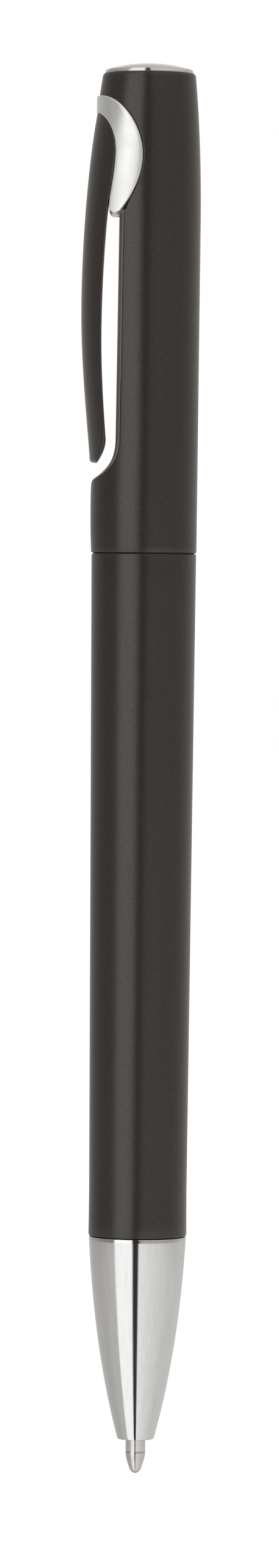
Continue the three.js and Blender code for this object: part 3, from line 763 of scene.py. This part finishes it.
def camera():
    """The photograph's camera, in front of the pen and a little above its middle."""
    data = bpy.data.cameras.new("camera")
    data.sensor_fit = "VERTICAL"
    data.sensor_height = 36.0
    data.lens = FOCAL_PIXELS / PHOTO_HEIGHT * data.sensor_height
    data.clip_start = 0.01
    made = bpy.data.objects.new("camera", data)
    bpy.context.scene.collection.objects.link(made)
    back = Vector((0, -math.cos(CAMERA_RISE), math.sin(CAMERA_RISE)))
    right = Vector((1, 0, 0))
    up = back.cross(right)
    c, s = math.cos(CAMERA_ROLL), math.sin(CAMERA_ROLL)
    leaning_right = c * right - s * up
    leaning_up = s * right + c * up
    turn = Matrix((leaning_right, leaning_up, back)).transposed()
    made.matrix_world = Matrix.Translation(AIM + back * CAMERA_DISTANCE) @ turn.to_4x4()
    bpy.context.scene.camera = made


def area_lamp(name, turn, rise, distance, width, height, radiance):
    """A soft lamp at an angle to the right of the camera's side, aimed at the pen's middle.
    Mirroring finishes don't show it."""
    data = bpy.data.lights.new(name, "AREA")
    data.shape = "RECTANGLE"
    data.size = width
    data.size_y = height
    data.energy = radiance * math.pi * width * height
    made = bpy.data.objects.new(name, data)
    bpy.context.scene.collection.objects.link(made)
    turn, rise = math.radians(turn), math.radians(rise)
    way = Vector((math.sin(turn) * math.cos(rise), -math.cos(turn) * math.cos(rise), math.sin(rise)))
    made.location = LAMP_AIM + way * distance
    made.rotation_euler = (-way).to_track_quat("-Z", "Y").to_euler()
    made.visible_glossy = False


# The studio round the pen: angle to the right of the camera's side, level, and warmth of tone,
# seen level from the pen, low down from its nose, and high up from its dome
SURROUND_LEVEL = [
    (-180, 0.82, 0.04), (-165, 0.64, 0.06), (-140, 0.48, 0.06), (-100, 0.31, 0.05), (-58, 0.26, 0.04),
    (-54.5, 1.36, 0.0), (-13.5, 1.36, 0.0), (-11, 0.03, 0.0), (3, 0.03, 0.0), (9, 0.47, 0.06),
    (30, 0.48, 0.08), (90, 0.44, 0.10), (130, 0.60, 0.10), (165, 0.64, 0.10), (180, 0.82, 0.07),
]
SURROUND_LOW = [
    (-180, 0.68, 0.04), (-140, 0.55, 0.06), (-103, 0.51, 0.06), (-72, 0.59, 0.06), (-58, 0.60, 0.06),
    (-54.5, 1.21, 0.0), (-13.0, 1.21, 0.0), (-10, 0.03, 0.0), (1.5, 0.03, 0.0), (4, 1.03, 0.01),
    (30, 0.90, 0.02), (90, 0.70, 0.03), (180, 0.68, 0.04),
]
SURROUND_HIGH = [
    (-180, 0.58, 0.02), (-120, 0.42, 0.03), (-75, 0.50, 0.03), (-58, 0.56, 0.03), (-54.5, 1.15, 0.0),
    (-13.5, 1.15, 0.0), (-11, 0.04, 0.0), (1, 0.04, 0.0), (4, 0.72, 0.02), (30, 0.74, 0.02),
    (100, 0.66, 0.03), (180, 0.58, 0.02),
]
CEILING_LEVEL = 0.58

# How far a direction points upwards, from -1 to 1, where one part of the surround blends into the next
LOW_TO_LEVEL = (-0.2, -0.04)
LEVEL_TO_HIGH = (0.28, 0.4)
HIGH_TO_CEILING = (0.7, 0.95)

# The place that the lamp is aimed at, and the stage, in metres
LAMP_AIM = Vector((0, 0, 0.07))
BACKDROP_RADIUS = 3.15
FLOOR_REACH = 3.0
FLOOR_LEVEL = -0.0004
FLOOR_GLOW = 0.5


def surround_colour(level, warmth):
    """A light's colour from its level and its warmth of tone."""
    return (level, level * (1 - 0.4 * warmth), level * (1 - warmth), 1)


def world_light():
    """Soft upright zones of light all round, brightest to the camera's left, with one dark gap."""
    world = bpy.data.worlds.new("studio")
    bpy.context.scene.world = world
    world.use_nodes = True
    nodes, links = world.node_tree.nodes, world.node_tree.links

    def maths(operation, first, second):
        node = nodes.new("ShaderNodeMath")
        node.operation = operation
        for socket, value in zip(node.inputs, (first, second)):
            if isinstance(value, (int, float)):
                socket.default_value = value
            else:
                links.new(value, socket)
        return node.outputs[0]

    direction = nodes.new("ShaderNodeSeparateXYZ")
    links.new(nodes.new("ShaderNodeTexCoord").outputs["Generated"], direction.inputs[0])
    turn = maths("ARCTAN2", direction.outputs["X"], maths("MULTIPLY", direction.outputs["Y"], -1.0))
    share = maths("ADD", maths("DIVIDE", turn, 2 * math.pi), 0.5)

    def zones(stops):
        ramp = nodes.new("ShaderNodeValToRGB")
        elements = ramp.color_ramp.elements
        elements[0].color = surround_colour(*stops[0][1:])
        elements[1].color = surround_colour(*stops[-1][1:])
        for angle, level, warmth in stops[1:-1]:
            elements.new(angle / 360 + 0.5).color = surround_colour(level, warmth)
        links.new(share, ramp.inputs["Fac"])
        return ramp.outputs["Color"]

    def share_of(start, end):
        change = nodes.new("ShaderNodeMapRange")
        links.new(direction.outputs["Z"], change.inputs["Value"])
        change.inputs["From Min"].default_value = start
        change.inputs["From Max"].default_value = end
        return change.outputs["Result"]

    def blended(part, first, second):
        mix = nodes.new("ShaderNodeMix")
        mix.data_type = "RGBA"
        links.new(part, mix.inputs[MIX_SHARE])
        links.new(first, mix.inputs[MIX_FIRST])
        links.new(second, mix.inputs[MIX_SECOND])
        return mix.outputs[MIX_RESULT]

    ceiling = nodes.new("ShaderNodeRGB")
    ceiling.outputs[0].default_value = surround_colour(CEILING_LEVEL, 0.0)
    sides = blended(share_of(*LOW_TO_LEVEL), zones(SURROUND_LOW), zones(SURROUND_LEVEL))
    sides = blended(share_of(*LEVEL_TO_HIGH), sides, zones(SURROUND_HIGH))
    whole = blended(share_of(*HIGH_TO_CEILING), sides, ceiling.outputs[0])
    links.new(whole, nodes["Background"].inputs["Color"])
    nodes["Background"].inputs["Strength"].default_value = 1.0


def camera_only(made):
    """Keeps a stage piece out of the light on the pen: only the camera sees it."""
    made.visible_diffuse = False
    made.visible_glossy = False
    made.visible_transmission = False
    made.visible_shadow = False


def backdrop():
    """A white surround behind everything, seen only from inside it."""
    mesh = bpy.data.meshes.new("backdrop")
    shape = bmesh.new()
    bmesh.ops.create_uvsphere(shape, u_segments=24, v_segments=16, radius=BACKDROP_RADIUS)
    shape.to_mesh(mesh)
    shape.free()
    made = bpy.data.objects.new("backdrop", mesh)
    bpy.context.scene.collection.objects.link(made)
    paper = bpy.data.materials.new("backdrop_white")
    paper.use_nodes = True
    nodes, links = paper.node_tree.nodes, paper.node_tree.links
    glow = nodes.new("ShaderNodeEmission")
    glow.inputs["Color"].default_value = (1, 1, 1, 1)
    links.new(nodes.new("ShaderNodeLightPath").outputs["Is Camera Ray"], glow.inputs["Strength"])
    inside = nodes.new("ShaderNodeMixShader")
    links.new(nodes.new("ShaderNodeNewGeometry").outputs["Backfacing"], inside.inputs[0])
    links.new(nodes.new("ShaderNodeBsdfTransparent").outputs[0], inside.inputs[1])
    links.new(glow.outputs["Emission"], inside.inputs[2])
    links.new(inside.outputs[0], nodes["Material Output"].inputs["Surface"])
    mesh.materials.append(paper)
    camera_only(made)


def floor():
    """A pale floor that the camera sees as white, apart from the pen's shadow on it."""
    mesh = bpy.data.meshes.new("floor")
    corners = [(-1, -1), (1, -1), (1, 1), (-1, 1)]
    points = [(x * FLOOR_REACH, y * FLOOR_REACH, FLOOR_LEVEL) for x, y in corners]
    mesh.from_pydata(points, [], [(0, 1, 2, 3)])
    made = bpy.data.objects.new("floor", mesh)
    bpy.context.scene.collection.objects.link(made)
    paint = Finish("floor_paint", 0.8, specular=0.1)
    tone = paint.noise(3, detail=2.0)
    paint.colour(paint.blend_colours(tone, [(0.3, (0.90, 0.90, 0.90)), (0.7, (0.92, 0.92, 0.92))]))
    paint.shader.inputs["Emission Color"].default_value = (1, 1, 1, 1)
    seen = paint.nodes.new("ShaderNodeLightPath")
    lift = paint.between(seen.outputs["Is Camera Ray"], 0, 1, 0.0, FLOOR_GLOW)
    paint.links.new(lift, paint.shader.inputs["Emission Strength"])
    mesh.materials.append(paint.material)
    camera_only(made)


def studio():
    """A soft lamp from above the camera, light all round, a white surround and a pale floor."""
    bpy.context.scene.view_settings.view_transform = "Standard"
    world_light()
    area_lamp("soft", turn=12, rise=48, distance=0.8, width=0.5, height=0.4, radiance=1.6)
    backdrop()
    floor()


camera()
studio()

black = black_finish("barrel_black", 0.013)
clip_black = black_finish("clip_black", 0.018)
nose_metal = bright_metal("nose_chrome", (0.745, 0.745, 0.74), 0.09, streak_scale=2600, streak=0.08)
trim_metal = bright_metal("trim_silver", (0.92, 0.92, 0.915), 0.38, streak_scale=1800, streak=0.04)
dome_metal = bright_metal("dome_chrome", (0.72, 0.715, 0.71), 0.10, streak_scale=1500, streak=0.06)
tip_metal = turned_metal("tip_steel", (0.70, 0.69, 0.67), 0.2)
steel = turned_metal("steel", (0.60, 0.60, 0.60), 0.22)
brass = turned_metal("brass", (0.72, 0.56, 0.28), 0.3)
white = moulding("white_moulding", (0.82, 0.81, 0.78), 0.45)
rubber = moulding("rubber", (0.03, 0.03, 0.03), 0.75)

place(lower_barrel(), "lower", "barrel_black", black, "lower_barrel")
place(nose_cone(), "lower", "nose_chrome", nose_metal, "nose_cone")
place(upper_barrel(), "upper", "barrel_black", black, "upper_barrel")
place(horseshoe(), "upper", "trim_silver", trim_metal, "clip_trim")
place(saddle(), "upper", "trim_silver", trim_metal)
place(top_dome(), "upper", "dome_chrome", dome_metal, "top_dome")
place(seam_washer(), "lower", "rubber", rubber, "seam_washer")
place(refill_tip(), "refill", "tip_steel", tip_metal, "refill_tip")
place(refill_ball(), "refill", "steel", steel, "refill_ball")

# The clip bends smoothly from within the horseshoe down to below its horn
arm = clip_piece()
dress(arm, clip_black)
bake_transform(arm)
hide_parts("clip")

# The frame's own solids inside the pen, which keep their shapes
inner_finish = {
    "brass": brass,
    "white_moulding": white,
    "rubber": rubber,
    "steel": steel,
}
slots = {row["node"]: row["material_slot"] for row in frame["record"]["subparts"]}
for node, shown in frame["nodes"].items():
    if slots[node] in inner_finish:
        dress(shown, inner_finish[slots[node]])
